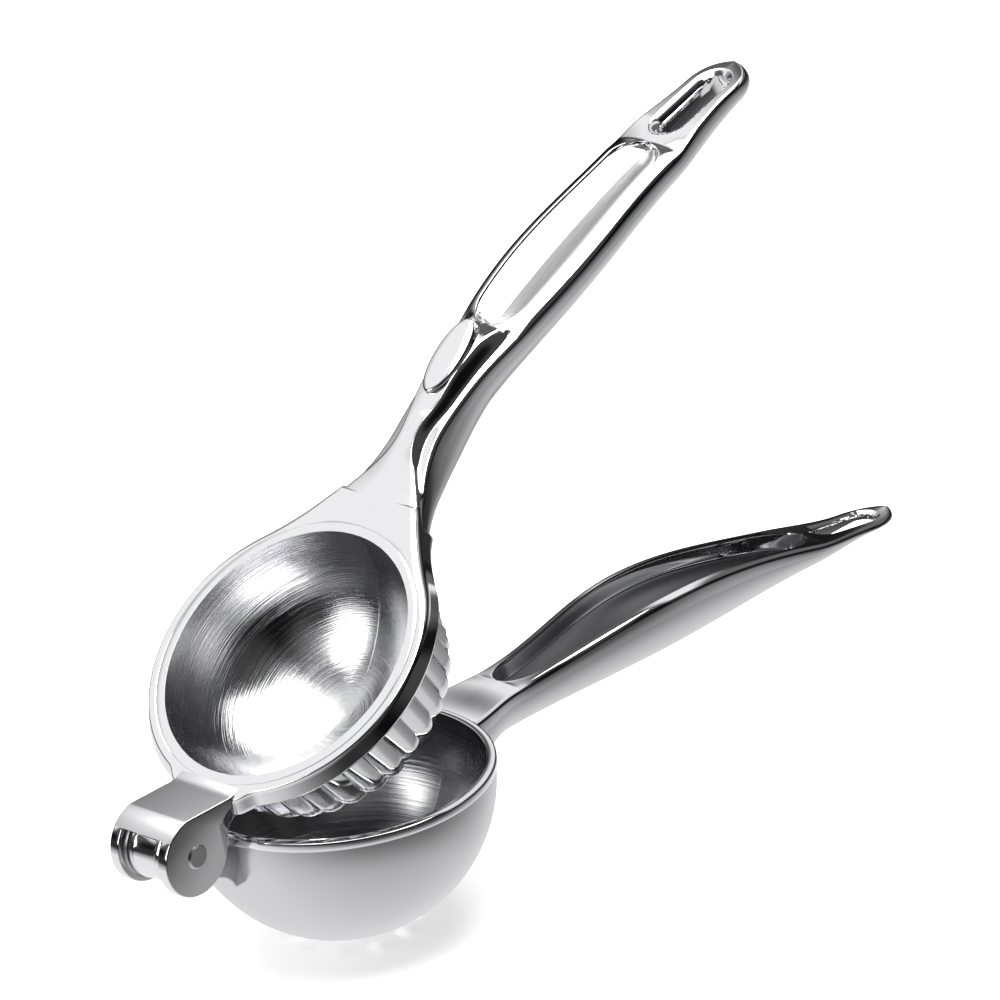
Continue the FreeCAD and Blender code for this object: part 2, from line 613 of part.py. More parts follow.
# Nothing is written unless every object and every piece is sound
for obj in doc.Objects:
    if "Invalid" in obj.State or "Error" in obj.State:
        raise RuntimeError("object failed: %s %s" % (obj.Name, obj.State))
for label, obj in NODES.items():
    shape = obj.Shape
    if shape.isNull() or not shape.isValid() or len(shape.Solids) != 1:
        raise RuntimeError("bad shape: %s valid %s solids %d" % (label, shape.isValid(),
                                                                 len(shape.Solids)))
os.makedirs("parts", exist_ok=True)
for label, obj in NODES.items():
    obj.Shape.exportStep("parts/%s.step" % label)
    box_ = obj.Shape.BoundBox
    print(label, round(obj.Shape.Volume, 1), [round(v, 2) for v in (
        box_.XMin, box_.XMax, box_.YMin, box_.YMax, box_.ZMin, box_.ZMax)])
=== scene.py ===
import math
import bmesh
import bpy
import numpy as np
from mathutils import Matrix, Vector


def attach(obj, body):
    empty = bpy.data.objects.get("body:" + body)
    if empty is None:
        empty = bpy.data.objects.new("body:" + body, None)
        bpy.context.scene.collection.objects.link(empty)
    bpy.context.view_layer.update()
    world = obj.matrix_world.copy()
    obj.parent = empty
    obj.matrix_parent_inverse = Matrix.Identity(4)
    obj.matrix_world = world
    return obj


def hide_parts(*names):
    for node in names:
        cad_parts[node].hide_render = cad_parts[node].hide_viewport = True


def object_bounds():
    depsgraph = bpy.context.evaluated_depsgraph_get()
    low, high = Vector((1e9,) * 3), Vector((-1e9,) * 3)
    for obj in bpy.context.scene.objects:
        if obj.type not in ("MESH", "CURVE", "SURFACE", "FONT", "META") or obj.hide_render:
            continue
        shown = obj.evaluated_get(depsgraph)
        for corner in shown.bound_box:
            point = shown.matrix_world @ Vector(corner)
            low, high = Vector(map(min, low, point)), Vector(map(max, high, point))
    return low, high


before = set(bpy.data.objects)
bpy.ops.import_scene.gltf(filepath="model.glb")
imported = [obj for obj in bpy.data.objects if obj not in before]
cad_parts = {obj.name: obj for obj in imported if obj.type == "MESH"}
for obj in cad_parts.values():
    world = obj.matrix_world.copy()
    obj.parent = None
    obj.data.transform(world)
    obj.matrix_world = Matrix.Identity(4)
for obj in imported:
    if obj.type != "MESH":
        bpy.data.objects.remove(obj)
cad_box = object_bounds()

# Floor, lights and camera.
# A pale matt floor under broad soft light. Chrome shows only what surrounds it, so the
# surroundings are dark and white bands by direction, which give the plated arms crisp bands.
MM = 0.001
FLOOR_GAP, FLOOR_HALF = 0.0004, 6.0
scene = bpy.context.scene
scene.view_settings.view_transform = "Standard"


def paint(code):
    """Linear colour of an sRGB hex code."""
    part = np.array([int(code[i:i + 2], 16) for i in (1, 3, 5)]) / 255.0
    linear = np.where(part <= 0.04045, part / 12.92, ((part + 0.055) / 1.055) ** 2.4)
    return (*linear.tolist(), 1.0)


def add(tree, kind, settings=(), links=()):
    """Add one node: settings name attributes or sockets, links pair a socket with a source."""
    node = tree.nodes.new(kind)
    for key, value in dict(settings).items():
        if isinstance(key, str) and hasattr(node, key):
            setattr(node, key, value)
        else:
            node.inputs[key].default_value = value
    for key, source in dict(links).items():
        tree.links.new(source, node.inputs[key])
    return node


def finish_tree(name):
    """New material with an empty tree, its output and a metal shader joined to it."""
    material = bpy.data.materials.new(name)
    material.use_nodes = True
    tree = material.node_tree
    tree.nodes.clear()
    shader = add(tree, "ShaderNodeBsdfPrincipled")
    add(tree, "ShaderNodeOutputMaterial", links={"Surface": shader.outputs[0]})
    return material, tree, shader


def metal(shader, colour, roughness=None):
    """Bare metal of one colour; its roughness is set here unless a texture drives it."""
    shader.inputs["Metallic"].default_value = 1.0
    shader.inputs["Base Color"].default_value = paint(colour)
    if roughness is not None:
        shader.inputs["Roughness"].default_value = roughness


def fill_ramp(node, first, last, stops):
    """Grey levels of a colour ramp: its two ends, then the stops between them."""
    ramp = node.color_ramp
    for place, stop, level in ((0.0, ramp.elements[0], first), (1.0, ramp.elements[1], last)):
        stop.position = place
        stop.color = (level, level, level, 1)
    for place, level in stops:
        stop = ramp.elements.new(place)
        stop.color = (level, level, level, 1)


floor_low = float(cad_box[0][2]) - FLOOR_GAP
floor_mesh = bpy.data.meshes.new("studio_floor")
floor_mesh.from_pydata([(i * FLOOR_HALF, j * FLOOR_HALF, floor_low)
                        for i, j in ((-1, -1), (1, -1), (1, 1), (-1, 1))], [], [(0, 1, 2, 3)])
floor = bpy.data.objects.new("studio_floor", floor_mesh)
scene.collection.objects.link(floor)
floor_paint, tree, shader = finish_tree("matt_white_floor_paint")
grain = add(tree, "ShaderNodeTexNoise", {"Scale": 3.0, "Detail": 2.0})
tone = add(tree, "ShaderNodeValToRGB", links={"Fac": grain.outputs["Fac"]})
tone.color_ramp.elements[0].color = paint("#FAFAFA")
tone.color_ramp.elements[1].color = paint("#FFFFFF")
tree.links.new(tone.outputs["Color"], shader.inputs["Base Color"])
shader.inputs["Roughness"].default_value = 0.9
shader.inputs["Specular IOR Level"].default_value = 0.1
shader.inputs["Emission Color"].default_value = paint("#FFFFFF")
shader.inputs["Emission Strength"].default_value = 0.55
floor_mesh.materials.append(floor_paint)
floor.visible_glossy = False

world = bpy.data.worlds.new("studio_dome")
scene.world = world
world.use_nodes = True
tree = world.node_tree
tree.nodes.clear()
where = add(tree, "ShaderNodeTexCoord")
axes = add(tree, "ShaderNodeSeparateXYZ", links={"Vector": where.outputs["Generated"]})
height = add(tree, "ShaderNodeMapRange", {"From Min": -1.0, "From Max": 1.0},
             {"Value": axes.outputs["Z"]})
dome = add(tree, "ShaderNodeValToRGB", links={"Fac": height.outputs[0]})
fill_ramp(dome, 0.60, 0.45,
          ((0.14, 0.62), (0.22, 0.30), (0.30, 0.09), (0.45, 0.03), (0.56, 0.04), (0.62, 0.12),
           (0.66, 0.45), (0.69, 0.88), (0.72, 0.95), (0.75, 1.0), (0.90, 1.0), (0.94, 0.40)))
side = add(tree, "ShaderNodeMapRange", {"From Min": -1.0, "From Max": 1.0},
           {"Value": axes.outputs["X"]})
flag = add(tree, "ShaderNodeValToRGB", links={"Fac": side.outputs[0]})
fill_ramp(flag, 0.5, 0.15,
          ((0.12, 0.10), (0.20, 0.10), (0.25, 1.0), (0.67, 1.0), (0.715, 0.12), (0.775, 0.12),
           (0.80, 0.95), (0.85, 0.95), (0.88, 0.15)))
above = add(tree, "ShaderNodeMapRange", {"From Min": 0.0, "From Max": 0.15},
            {"Value": axes.outputs["Z"]})
shade = add(tree, "ShaderNodeMix", {"data_type": "RGBA", "blend_type": "MULTIPLY"})
tree.links.new(above.outputs[0], shade.inputs["Factor"])
tree.links.new(dome.outputs["Color"], shade.inputs[6])
tree.links.new(flag.outputs["Color"], shade.inputs[7])
# The camera's side of the room is black, and the far side is white below the bench's height
near = add(tree, "ShaderNodeMapRange", {"From Min": -0.5, "From Max": -0.3, "To Min": 0.06},
           {"Value": axes.outputs["Y"]})
distant = add(tree, "ShaderNodeMapRange", {"From Min": 0.74, "From Max": 0.84, "To Min": 1.0,
                                           "To Max": 0.42}, {"Value": axes.outputs["Y"]})
depth = add(tree, "ShaderNodeMath", {"operation": "MULTIPLY"},
            {0: near.outputs[0], 1: distant.outputs[0]})
upper = add(tree, "ShaderNodeMix", {"data_type": "FLOAT", 2: 1.0},
            {0: above.outputs[0], 3: depth.outputs[0]})
front = add(tree, "ShaderNodeVectorMath", {"operation": "SCALE"},
            {0: shade.outputs[2], "Scale": upper.outputs[0]})
back = add(tree, "ShaderNodeMapRange", {"From Min": -0.8, "From Max": 0.3, "To Max": 0.95},
           {"Value": axes.outputs["Y"]})
below = add(tree, "ShaderNodeMapRange", {"From Min": -0.15, "From Max": -0.42},
            {"Value": axes.outputs["Z"]})
lift = add(tree, "ShaderNodeMath", {"operation": "MULTIPLY"},
           {0: back.outputs[0], 1: below.outputs[0]})
room = add(tree, "ShaderNodeMix", {"data_type": "RGBA", 7: (0.95, 0.95, 0.95, 1)},
           {0: lift.outputs[0], 6: front.outputs[0]})
sky = add(tree, "ShaderNodeBackground", {"Strength": 1.0}, {"Color": room.outputs[2]})
add(tree, "ShaderNodeOutputWorld", links={"Surface": sky.outputs[0]})


def lamp(name, place, target, size, power):
    """Soft rectangular light in metres and watts, turned to face its target."""
    data = bpy.data.lights.new(name, "AREA")
    data.shape = "RECTANGLE"
    data.size, data.size_y = size
    data.energy = power
    obj = bpy.data.objects.new(name, data)
    obj.location = place
    obj.rotation_euler = (Vector(target) - Vector(place)).to_track_quat("-Z", "Y").to_euler()
    scene.collection.objects.link(obj)


middle = (0.06, 0.0, 0.03)
lamp("overhead_softbox", (0.1, 0.1, 1.6), middle, (1.6, 1.6), 42)
lamp("left_softbox", (-1.3, 0.5, 0.5), middle, (0.7, 0.9), 7)

# Camera matched to the ring, the cup's rim, the cup's outline and the hinge ears
eye = Vector((-1.17316, -1.29718, 0.82262))
right = Vector((0.6869, -0.7189, -0.1066))
down = Vector((-0.3569, -0.2059, -0.9113))
look = Vector((0.6332, 0.6639, -0.3980))
camera_data = bpy.data.cameras.new("photo_camera")
camera_data.sensor_fit = "HORIZONTAL"
camera_data.sensor_width = 36.0
camera_data.lens = 295.25
camera_data.clip_end = 50.0
camera = bpy.data.objects.new("photo_camera", camera_data)
turn = Matrix((right, -down, -look)).transposed()
camera.matrix_world = Matrix.Translation(eye) @ turn.to_quaternion().to_matrix().to_4x4()
scene.collection.objects.link(camera)
scene.camera = camera

# Lower arm, cup and rim.
# Cast zinc alloy under bright plating: the bowl of the cup is tumbled to a satin outside and
# turned inside, and only its rim is polished. Juice leaves by round drain holes.
CUP_RADIUS, CUP_WALL, CUP_DROP = 38.2, 1.9, 2.0
RIM_LIP, RIM_HEIGHT = 0.4, 2.4
DRAIN_RADIUS, DRAIN_RINGS = 2.2, ((0.0, 1), (7.0, 5), (14.5, 10))


def turning(steps):
    """Angles once round a circle, the last one left out."""
    return np.linspace(0.0, 2 * np.pi, steps, endpoint=False)


def spun(profile, steps=256, phase=0.0):
    """Surface of revolution about Z: each radius and height pair goes round a circle."""
    a = turning(steps) + phase
    r, z = profile[:, 0][:, None], profile[:, 1][:, None]
    return np.stack([r * np.cos(a), r * np.sin(a), z + 0 * a], -1)


def turned_map(rows, steps):
    """Map of a spun piece: the turn goes across it and the profile goes along it."""
    run = np.arange(rows)[:, None] / rows
    around = np.arange(steps)[None, :] / steps
    return np.stack(np.broadcast_arrays(around, run), -1)


def arc(centre, radius, start, stop, steps):
    """Points on a circle arc between two angles in degrees."""
    t = np.radians(np.linspace(start, stop, steps))
    return np.stack([centre[0] + radius * np.cos(t), centre[1] + radius * np.sin(t)], -1)


def skin(name, grid, body, materials, zone=None, round_rows=False, round_columns=True,
         caps=False, sharp=38.0, uv=None):
    """Closed mesh on a grid of points in millimetres, quads between neighbours."""
    rows, columns = grid.shape[:2]
    i, j = np.meshgrid(np.arange(rows if round_rows else rows - 1),
                       np.arange(columns if round_columns else columns - 1), indexing="ij")
    down_row, next_column = (i + 1) % rows, (j + 1) % columns
    quads = np.stack([i * columns + j, down_row * columns + j,
                      down_row * columns + next_column, i * columns + next_column], -1)
    faces = quads.reshape(-1, 4).tolist()
    slots = (np.zeros(quads.shape[:2], int) if zone is None else zone[i, j]).reshape(-1).tolist()
    if caps:
        faces += [list(range(columns)), list(range((rows - 1) * columns, rows * columns))]
        slots += [slots[0], slots[-1]]
    mesh = bpy.data.meshes.new(name)
    mesh.from_pydata((grid.reshape(-1, 3) * MM).tolist(), [], faces)
    for material in materials:
        mesh.materials.append(material)
    mesh.polygons.foreach_set("material_index", slots)
    if uv is not None:
        layer = mesh.uv_layers.new(name="turning")
        corner = np.empty(len(mesh.loops), dtype=np.int32)
        mesh.loops.foreach_get("vertex_index", corner)
        layer.data.foreach_set("uv", uv.reshape(-1, 2)[corner].reshape(-1).astype(np.float32))
    work = bmesh.new()
    work.from_mesh(mesh)
    bmesh.ops.remove_doubles(work, verts=work.verts, dist=2e-7)
    bmesh.ops.dissolve_degenerate(work, edges=work.edges, dist=1e-8)
    bmesh.ops.recalc_face_normals(work, faces=work.faces)
    work.to_mesh(mesh)
    work.free()
    mesh.shade_smooth()
    mesh.set_sharp_from_angle(angle=math.radians(sharp))
    obj = bpy.data.objects.new(name, mesh)
    scene.collection.objects.link(obj)
    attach(obj, body)
    return obj


def carve(obj, cutter):
    """Cut one closed mesh out of another and drop the cutter."""
    step = obj.modifiers.new("cut", "BOOLEAN")
    step.operation = "DIFFERENCE"
    step.solver = "EXACT"
    step.object = cutter
    graph = bpy.context.evaluated_depsgraph_get()
    result = bpy.data.meshes.new_from_object(obj.evaluated_get(graph))
    obj.modifiers.clear()
    old = obj.data
    obj.data = result
    bpy.data.meshes.remove(old)
    bpy.data.objects.remove(cutter)
    result.set_sharp_from_angle(angle=math.radians(38))


# Bright nickel and chrome plate over polished zinc: a near mirror with a faint orange peel
plate, tree, shader = finish_tree("polished_chrome_plate")
place = add(tree, "ShaderNodeTexCoord")
peel = add(tree, "ShaderNodeTexNoise", {"Scale": 55.0, "Detail": 2.0},
           {"Vector": place.outputs["Object"]})
smear = add(tree, "ShaderNodeTexNoise", {"Scale": 30.0, "Detail": 6.0},
            {"Vector": place.outputs["Object"]})
gloss = add(tree, "ShaderNodeMapRange", {"To Min": 0.035, "To Max": 0.10},
            {"Value": smear.outputs["Fac"]})
tree.links.new(gloss.outputs[0], shader.inputs["Roughness"])
ripple = add(tree, "ShaderNodeBump", {"Strength": 0.02, "Distance": 0.0004},
             {"Height": peel.outputs["Fac"]})
tree.links.new(ripple.outputs[0], shader.inputs["Normal"])
metal(shader, "#ECECEE")

# Satin plate over a tumbled casting: fine grit, no mirror image
satin, tree, shader = finish_tree("satin_chrome_plate")
place = add(tree, "ShaderNodeTexCoord")
grit = add(tree, "ShaderNodeTexNoise", {"Scale": 2500.0, "Detail": 3.0},
           {"Vector": place.outputs["Object"]})
drift = add(tree, "ShaderNodeTexNoise", {"Scale": 22.0, "Detail": 3.0},
            {"Vector": place.outputs["Object"]})
tone = add(tree, "ShaderNodeMapRange", {"To Min": 0.25, "To Max": 0.33},
           {"Value": drift.outputs["Fac"]})
tree.links.new(tone.outputs[0], shader.inputs["Roughness"])
ripple = add(tree, "ShaderNodeBump", {"Strength": 0.08, "Distance": 0.00008},
             {"Height": grit.outputs["Fac"]})
tree.links.new(ripple.outputs[0], shader.inputs["Normal"])
metal(shader, "#DADADC")

# The same satin with its colour darkened: painted shade for the deep recess
recess_shade_satin = satin.copy()
recess_shade_satin.name = "satin_painted_recess_shade"
for node in recess_shade_satin.node_tree.nodes:
    if node.type == "BSDF_PRINCIPLED":
        node.inputs["Base Color"].default_value = paint("#6C6C6F")


def turned_metal(name, colour, low, high, streak):
    """Lathe-turned metal: fine rings follow the piece's own map, u round and v along."""
    material, tree, shader = finish_tree(name)
    spot = add(tree, "ShaderNodeUVMap", {"uv_map": "turning"})
    stretch = add(tree, "ShaderNodeMapping", {"Scale": (3.0, 160.0, 1.0)},
                  {"Vector": spot.outputs[0]})
    rings = add(tree, "ShaderNodeTexNoise", {"Scale": 1.0, "Detail": 5.0},
                {"Vector": stretch.outputs[0]})
    patch = add(tree, "ShaderNodeMapping", {"Scale": (7.0, 2.2, 1.0)}, {"Vector": spot.outputs[0]})
    cloud = add(tree, "ShaderNodeTexNoise", {"Scale": 1.0, "Detail": 3.0},
                {"Vector": patch.outputs[0]})
    mix = add(tree, "ShaderNodeMath", {"operation": "ADD"},
              {0: rings.outputs["Fac"], 1: cloud.outputs["Fac"]})
    rough = add(tree, "ShaderNodeMapRange", {"From Min": 0.7, "From Max": 1.3, "To Min": low,
                                             "To Max": high}, {"Value": mix.outputs[0]})
    tree.links.new(rough.outputs[0], shader.inputs["Roughness"])
    cutmark = add(tree, "ShaderNodeBump", {"Strength": streak, "Distance": 0.0002},
                  {"Height": rings.outputs["Fac"]})
    tree.links.new(cutmark.outputs[0], shader.inputs["Normal"])
    along = add(tree, "ShaderNodeTangent", {"direction_type": "UV_MAP", "uv_map": "turning"})
    tree.links.new(along.outputs[0], shader.inputs["Tangent"])
    shader.inputs["Anisotropic"].default_value = 0.75
    metal(shader, colour)
    return material


turned_zinc = turned_metal("turned_satin_chrome", "#C4C4C6", 0.13, 0.26, 0.25)

cup_in = CUP_RADIUS - CUP_WALL
rim_out = math.sqrt(CUP_RADIUS ** 2 - CUP_DROP ** 2) + RIM_LIP
rim_in = math.sqrt(cup_in ** 2 - CUP_DROP ** 2)
bead_angle = math.degrees(math.asin((-RIM_HEIGHT + CUP_DROP) / CUP_RADIUS))
outside = arc((0, -CUP_DROP), CUP_RADIUS, -90, bead_angle, 90)
inside = arc((0, -CUP_DROP), cup_in, math.degrees(math.asin(CUP_DROP / cup_in)), -90, 90)
rim = np.array([(rim_out - 0.12, -RIM_HEIGHT + 0.25), (rim_out, -RIM_HEIGHT + 0.6),
                (rim_out, -0.5), (rim_out - 0.08, -0.2), (rim_out - 0.3, -0.03),
                (rim_out - 0.55, 0.0), (rim_in + 0.3, 0.0), (rim_in + 0.08, -0.08)])
profile = np.vstack([outside, rim, inside])
cup_steps = 320
grid = spun(profile, cup_steps)
zone = np.zeros(grid.shape[:2], int)
zone[len(outside) - 1:len(outside) + len(rim)] = 1
zone[len(outside) + len(rim):] = 2
cup = skin("cup", grid, "lower", [satin, plate, turned_zinc], zone,
           uv=turned_map(len(profile), cup_steps))

drill = []
for pitch, count in DRAIN_RINGS:
    for k in range(count):
        a = 2 * math.pi * k / count
        drill.append((pitch * math.cos(a), pitch * math.sin(a)))
rods = bmesh.new()
for x, y in drill:
    bmesh.ops.create_cone(rods, cap_ends=True, segments=32, radius1=DRAIN_RADIUS * MM,
                          radius2=DRAIN_RADIUS * MM, depth=0.03,
                          matrix=Matrix.Translation((x * MM, y * MM, -0.038)))
rod_mesh = bpy.data.meshes.new("drill_rods")
rods.to_mesh(rod_mesh)
rods.free()
rod_set = bpy.data.objects.new("drill_rods", rod_mesh)
scene.collection.objects.link(rod_set)
carve(cup, rod_set)
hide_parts("lower_arm")

# Lower handle.
# One casting with the cup: two polished rails round an open recess, a satin rounded belly
# and a flat tip with a slot to hang it by.
LOW_REACH, LOW_NECK, LOW_PALM, LOW_GRIP, LOW_END = 196.8, 8.0, 12.0, 9.7, 6.6
LOW_RECESS, LOW_RAIL, LOW_DEPTH = (56.0, 165.0), 2.3, 4.6
LOW_SLOT, SLOT_HALF, BEVEL = (169.5, 191.0), 3.2, 1.1


def between(x, stations):
    """Smooth value along x: half a cosine wave from each station to the next."""
    places, values = np.array(stations, float).T
    k = np.clip(np.searchsorted(places, x, side="right") - 1, 0, len(places) - 2)
    s = np.clip((x - places[k]) / (places[k + 1] - places[k]), 0, 1)
    return values[k] + (values[k + 1] - values[k]) * (1 - np.cos(np.pi * s)) / 2


def rounded_tip(x, half, end_at, reach, end_half):
    """Half width that closes in a quarter ellipse past the end station."""
    s = np.clip((x - end_at) / (reach - end_at), 0, 1)
    return np.where(x > end_at, np.maximum(end_half * np.sqrt(1 - s ** 2), 0.02), half)


def smooth(s):
    """Gentle step from nought to one."""
    s = np.clip(s, 0, 1)
    return s * s * (3 - 2 * s)


def opening(x, ends, lead, trail):
    """Share of a channel's full width along x: a quarter ellipse closes each end."""
    head, tail = np.clip((x - ends[0]) / lead, 0, 1), np.clip((ends[1] - x) / trail, 0, 1)
    return np.sqrt(1 - (1 - head) ** 2) * np.sqrt(1 - (1 - tail) ** 2)


def closing(x, top, low, reach):
    """Belly height that rises towards the top over the last 8 mm before the tip."""
    fade = np.clip((reach - x) / 8.0, 0, 1)
    return top - (top - low) * (0.35 + 0.65 * np.sqrt(1 - (1 - fade) ** 2))


def top_and_belly(grid, top_count):
    """Material zones of a handle's skin: nought on top and one on the belly."""
    zone = np.zeros(grid.shape[:2], int)
    zone[:, top_count + 1:grid.shape[1] - top_count - 1] = 1
    return zone


def handle_grid(x, top, half, low, crown, inner, depth, crease, wall, slope, bevel, boxy=0.0,
                ridge=(0.0, 1.0)):
    """Handle skin: per station a top with rails, channel and rounded edge, then the belly,
    which is a half oval where boxy is nought and has upright sides where it is one. The
    crown is level inside the ridge's first share of the half width and gone at its second."""
    x, top, half, low, crown, inner, depth, crease = np.broadcast_arrays(
        *[np.asarray(v, float)[:, None] if np.ndim(v) else np.full((len(x), 1), float(v))
          for v in (x, top, half, low, crown, inner, depth, crease)])
    edge = np.minimum(bevel, half * 0.35)
    lip = np.minimum(wall, inner * 0.4)
    t = np.linspace(0, 1, 17)[None, :-1]
    floor_y = (inner - lip) * t
    t = np.linspace(0, 1, 9)[None, :-1]
    wall_y = inner - lip + lip * t
    t = np.linspace(0, 1, 33)[None, :-1]
    rail_y = inner + (half - edge - inner) * t
    t = np.linspace(0, np.pi / 2, 9)[None, :]
    edge_y = half - edge + edge * np.sin(t)
    y = np.hstack([floor_y, wall_y, rail_y, edge_y])
    sunk = smooth((inner - y) / np.maximum(lip, 1e-6))
    fold = crease * np.clip(1 - y / np.maximum(inner - lip, 1e-6), 0, 1)
    fall = slope * np.clip((y - inner) / np.maximum(half - inner, 1e-6), 0, 1) ** 1.6
    ridge_in, ridge_out = [np.asarray(v, float)[:, None] if np.ndim(v) else v for v in ridge]
    hill = 1 - smooth((y / half - ridge_in) / (ridge_out - ridge_in))
    z = top + crown * hill - sunk * (depth + fold) - fall
    roll = np.clip((y - (half - edge)) / edge, 0, 1)
    z = z - edge * (1 - np.sqrt(np.maximum(0, 1 - roll ** 2)))
    t = np.linspace(0, np.pi, 49)[None, 1:-1]
    hip = z[:, -1:]
    boxy = np.asarray(boxy, float)[:, None] if np.ndim(boxy) else boxy
    belly_y = half * np.sign(np.cos(t)) * np.abs(np.cos(t)) ** (0.85 - 0.5 * boxy)
    belly_z = hip - (hip - low) * np.sin(t) ** (0.8 - 0.35 * boxy)
    ys = np.hstack([y, belly_y, -y[:, ::-1][:, :-1]])
    zs = np.hstack([z, belly_z, z[:, ::-1][:, :-1]])
    return np.stack([np.broadcast_to(x, ys.shape), ys, zs], -1), y.shape[1]


def slot_cutter(name, ends, half, height, flare, place):
    """Closed slot: a long hole with half-round ends, opened out by a flare at its top face."""
    start, end = ends
    a = turning(96)
    reach = (end - start) / 2 - half
    x = (start + end) / 2 + np.sign(np.cos(a)) * reach
    levels = np.array([-40.0, -flare - 0.6, -flare * 0.55, -flare * 0.15, 0.25, 30.0])
    grow = np.array([0.0, 0.0, flare * 0.25, flare * 0.8, flare * 1.25, flare * 1.25])
    rows = []
    for level, more in zip(levels, grow):
        px, py = x + (half + more) * np.cos(a), (half + more) * np.sin(a)
        rows.append(np.stack([px, py, height(px) + level], -1))
    grid = place(np.array(rows))
    mesh = bpy.data.meshes.new(name)
    n = len(a)
    faces = [(i * n + j, i * n + (j + 1) % n, (i + 1) * n + (j + 1) % n, (i + 1) * n + j)
             for i in range(len(levels) - 1) for j in range(n)]
    faces += [tuple(range(n))[::-1], tuple(range((len(levels) - 1) * n, len(levels) * n))]
    mesh.from_pydata((grid.reshape(-1, 3) * MM).tolist(), [], faces)
    obj = bpy.data.objects.new(name, mesh)
    scene.collection.objects.link(obj)
    return obj


def stay(points):
    """Leave the points of the lower arm where they are."""
    return points


span = LOW_REACH - CUP_RADIUS
neck_at, palm_at = CUP_RADIUS + span * 0.13, CUP_RADIUS + span * 0.455
grip_at, low_end = CUP_RADIUS + span * 0.77, LOW_REACH - 12.0
low_half = [(rim_in - 3, LOW_NECK + 3), (neck_at, LOW_NECK), (palm_at, LOW_PALM),
            (grip_at, LOW_GRIP), (low_end, LOW_END)]
low_top = [(rim_in, -0.2), (neck_at - 4, 0.6), (palm_at - 3, 5.0), (LOW_REACH + 6, -8.7)]
low_under = [(rim_in - 3, -17.7), (neck_at - 6, -11.2), (palm_at, -11.8), (low_end, -10.3),
             (LOW_REACH, -10.6)]
x = np.concatenate([np.linspace(rim_out - 0.9, 60, 60), np.linspace(60, 175, 170)[1:],
                    175 + (LOW_REACH - 175) * np.sin(np.linspace(0, np.pi / 2, 50))[1:]])
half = rounded_tip(x, between(x, low_half), low_end, LOW_REACH, LOW_END)
open_share = opening(x, LOW_RECESS, 9.0, 12.0)
inner = np.maximum((half - LOW_RAIL) * open_share, 0.02)
depth = LOW_DEPTH * smooth(open_share * 2.2)
top = between(x, low_top)
low = closing(x, top, between(x, low_under), LOW_REACH)
grid, top_count = handle_grid(x, top, half, low, 0.0, inner, depth, 0.2, 1.0, 0.35, BEVEL)
zone = top_and_belly(grid, top_count)
# The recess floor and the foot of its walls take the satin darkened with painted shade
zone[:, :17] = 2
zone[:, grid.shape[1] - 17:] = 2
low_handle = skin("lower_handle", grid, "lower", [plate, satin, recess_shade_satin], zone, caps=True,
                  sharp=50)
carve(low_handle, slot_cutter("low_slot", LOW_SLOT, SLOT_HALF, lambda v: between(v, low_top), 1.3,
                              stay))

# Lower knuckle and its web.
# Part of the same casting: a barrel between the two ears, joined to the cup by a short web.
PIN, WEB_HALF = np.array([-54.1, 3.1]), 5.4


def slab(name, outline, low, high, bevel, body, materials, place):
    """Flat piece with rounded edges: an outline in X and Z carried from one Y to another."""
    loop = np.asarray(outline, float)
    ahead, behind = np.roll(loop, -1, 0) - loop, loop - np.roll(loop, 1, 0)
    ahead = ahead / np.linalg.norm(ahead, axis=1)[:, None]
    behind = behind / np.linalg.norm(behind, axis=1)[:, None]
    along = ahead + behind
    along = along / np.maximum(np.linalg.norm(along, axis=1)[:, None], 1e-9)
    area = 0.5 * np.sum(loop[:, 0] * np.roll(loop[:, 1], -1) - np.roll(loop[:, 0], -1) * loop[:, 1])
    inward = np.stack([-along[:, 1], along[:, 0]], -1) * np.sign(area)
    rows = []
    for t in np.linspace(0, np.pi / 2, 6):
        rows.append((low + bevel * (1 - math.sin(t)), bevel * (1 - math.cos(t))))
    rows = rows[::-1] + [(low + high - level, shrink) for level, shrink in rows]
    grid = []
    for level, shrink in rows:
        flat = loop + inward * shrink
        grid.append(np.stack([flat[:, 0], np.full(len(loop), level), flat[:, 1]], -1))
    return skin(name, place(np.array(grid)), body, materials, caps=True, sharp=40)


knuckle = np.array([(0.0, -5.5), (7.4, -5.5), (7.9, -5.3), (8.15, -4.9), (8.2, -4.4), (8.2, -3.9),
                    (7.95, -3.5), (7.9, -3.2), (7.9, 3.2), (7.95, 3.5), (8.2, 3.9), (8.2, 4.4),
                    (8.15, 4.9), (7.9, 5.3), (7.4, 5.5), (0.0, 5.5)])
grid = spun(knuckle, 128)
grid = np.stack([PIN[0] + grid[..., 0], grid[..., 2], PIN[1] + grid[..., 1]], -1)
barrel = skin("lower_knuckle", grid, "lower", [plate], sharp=30)
web_line = np.vstack([[(PIN[0] + 1.0, -0.9), (-36.4, -0.9), (-36.4, -12.0)],
                      arc((-46.5, -14.6), 7.0, 20, 84, 10), [(PIN[0] + 0.5, -4.9)]])
web = slab("lower_web", web_line, -WEB_HALF, WEB_HALF, 0.5, "lower", [satin], stay)

# Upper arm, ring and neck.
# Second casting, polished all over: a flat ring that flares into the neck. The whole arm
# is drawn closed and then turned open about the pin.
OPEN = math.radians(36.6)
RING_TOP, RING_DEPTH, RING_RADIUS, RING_FLARE, BORE = 2.74, 4.0, 37.7, 1.7, 35.42
UP_REACH, UP_NECK, UP_PALM, UP_GRIP, UP_END = 189.0, 7.2, 12.4, 10.8, 7.8
NECK_TOP, TIP_DROP, UP_THICK, UP_TIP_THICK = 3.3, 26.5, 12.4, 6.5
NECK_LOW, PLATE_END = -10.2, 45.0


def opened(points):
    """Turn closed points open about the pin, the handle's end rising."""
    dx, dz = points[..., 0] - PIN[0], points[..., 2] - PIN[1]
    c, s = math.cos(OPEN), math.sin(OPEN)
    return np.stack([PIN[0] + dx * c - dz * s, points[..., 1], PIN[1] + dx * s + dz * c], -1)


